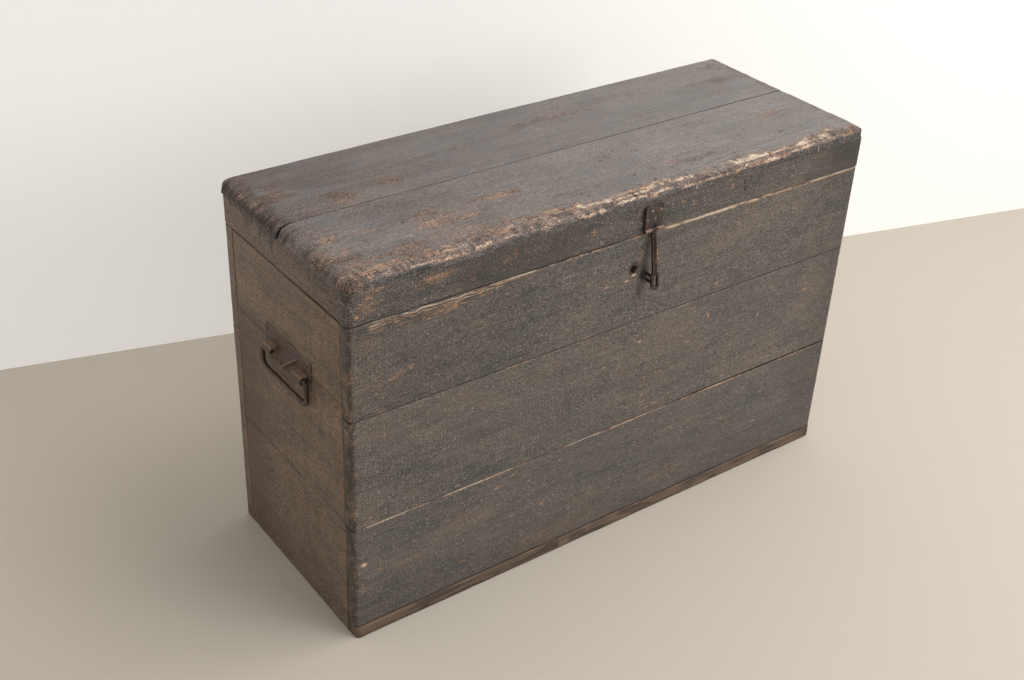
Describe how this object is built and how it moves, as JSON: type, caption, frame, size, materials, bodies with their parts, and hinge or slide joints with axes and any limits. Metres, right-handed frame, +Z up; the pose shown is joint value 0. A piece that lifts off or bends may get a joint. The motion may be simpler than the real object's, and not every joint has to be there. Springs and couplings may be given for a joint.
{
  "type": "plank chest",
  "caption": "Tall narrow plank-built chest with a hinged lift lid, bail handles on the ends, a hasp and staple, and an inside chest lock.",
  "frame": {"origin": "on the floor under the middle of the body, on the underside of the middle floor board", "axes": "+X along the length to the right, seen from the front; +Y from the front to the back; +Z up"},
  "size_m": [0.9942, 0.3825, 0.61],
  "materials": {
    "front_paint": "worn grey-blue paint, matt",
    "end_paint": "worn brown-black paint, matt",
    "rim_paint": "worn grey paint, matt",
    "lid_wood": "paint worn to grey wood, satin",
    "bare_wood": "bare aged softwood",
    "floor_wood": "bare aged softwood",
    "rusty_iron": "rusted",
    "handle_iron": "painted over and rubbed",
    "nail_iron": "dark iron",
    "lock_iron": "dark iron, light rust",
    "hinge_iron": "dark iron, light rust"
  },
  "bodies": {
    "body": {"front_board_bottom": "front_paint", "back_board_bottom": "front_paint", "left_end_board_bottom": "end_paint", "right_end_board_bottom": "end_paint", "front_board_middle": "front_paint", "back_board_middle": "front_paint", "left_end_board_middle": "end_paint", "right_end_board_middle": "end_paint", "front_board_top": "front_paint", "back_board_top": "front_paint", "left_end_board_top": "end_paint", "right_end_board_top": "end_paint", "floor_board_front": "floor_wood", "floor_board_middle": "floor_wood", "floor_board_back": "floor_wood", "foot_strip_left": "bare_wood", "foot_strip_right": "bare_wood", "wall_nails": "nail_iron", "floor_nails": "nail_iron", "hasp_staple": "rusty_iron", "front_stray_nail": "nail_iron", "left_handle_plate": "handle_iron", "right_handle_plate": "handle_iron", "left_handle_nails": "nail_iron", "right_handle_nails": "nail_iron", "lock_plate": "lock_iron", "lock_case": "lock_iron", "lock_key_pin": "lock_iron", "lock_guide_rivets": "lock_iron", "lock_screws": "lock_iron", "hinge_wall_leaf_left": "hinge_iron", "hinge_wall_leaf_right": "hinge_iron", "hinge_pin_left": "hinge_iron", "hinge_pin_right": "hinge_iron", "hinge_wall_screws": "nail_iron"},
    "lid": {"lid_board_front": "lid_wood", "lid_board_back": "lid_wood", "lid_rail_front": "rim_paint", "lid_rail_back": "rim_paint", "lid_rail_left": "rim_paint", "lid_rail_right": "rim_paint", "lid_nails": "nail_iron", "hasp_plate": "rusty_iron", "hasp_plate_nails": "nail_iron", "hasp_pin": "rusty_iron", "lock_link": "lock_iron", "lock_link_screws": "lock_iron", "hinge_lid_leaf_left": "hinge_iron", "hinge_lid_leaf_right": "hinge_iron", "hinge_lid_screws": "nail_iron"},
    "hasp": {"hasp_strap": "rusty_iron"},
    "left_bail": {"left_bail": "handle_iron"},
    "right_bail": {"right_bail": "handle_iron"},
    "lock_bolt": {"lock_bolt": "lock_iron"}
  },
  "joints": [
    {"name": "lid_hinge", "type": "hinge", "parent": "body", "child": "lid", "pos_m": [0, 0.1802, 0.54225], "axis": [-1, 0, 0], "range_deg": [0, 105]},
    {"name": "hasp_hinge", "type": "hinge", "parent": "lid", "child": "hasp", "pos_m": [0.0345, -0.1803, 0.549], "axis": [-1, 0, 0], "range_deg": [-9.5, 155]},
    {"name": "left_bail_hinge", "type": "hinge", "parent": "body", "child": "left_bail", "pos_m": [-0.489, -0.0053, 0.402], "axis": [0, 1, 0], "range_deg": [0, 180]},
    {"name": "right_bail_hinge", "type": "hinge", "parent": "body", "child": "right_bail", "pos_m": [0.489, -0.0053, 0.402], "axis": [0, -1, 0], "range_deg": [0, 180]},
    {"name": "lock_bolt_slide", "type": "slide", "parent": "body", "child": "lock_bolt", "axis": [1, 0, 0], "range_m": [0, 0.009]}
  ]
}
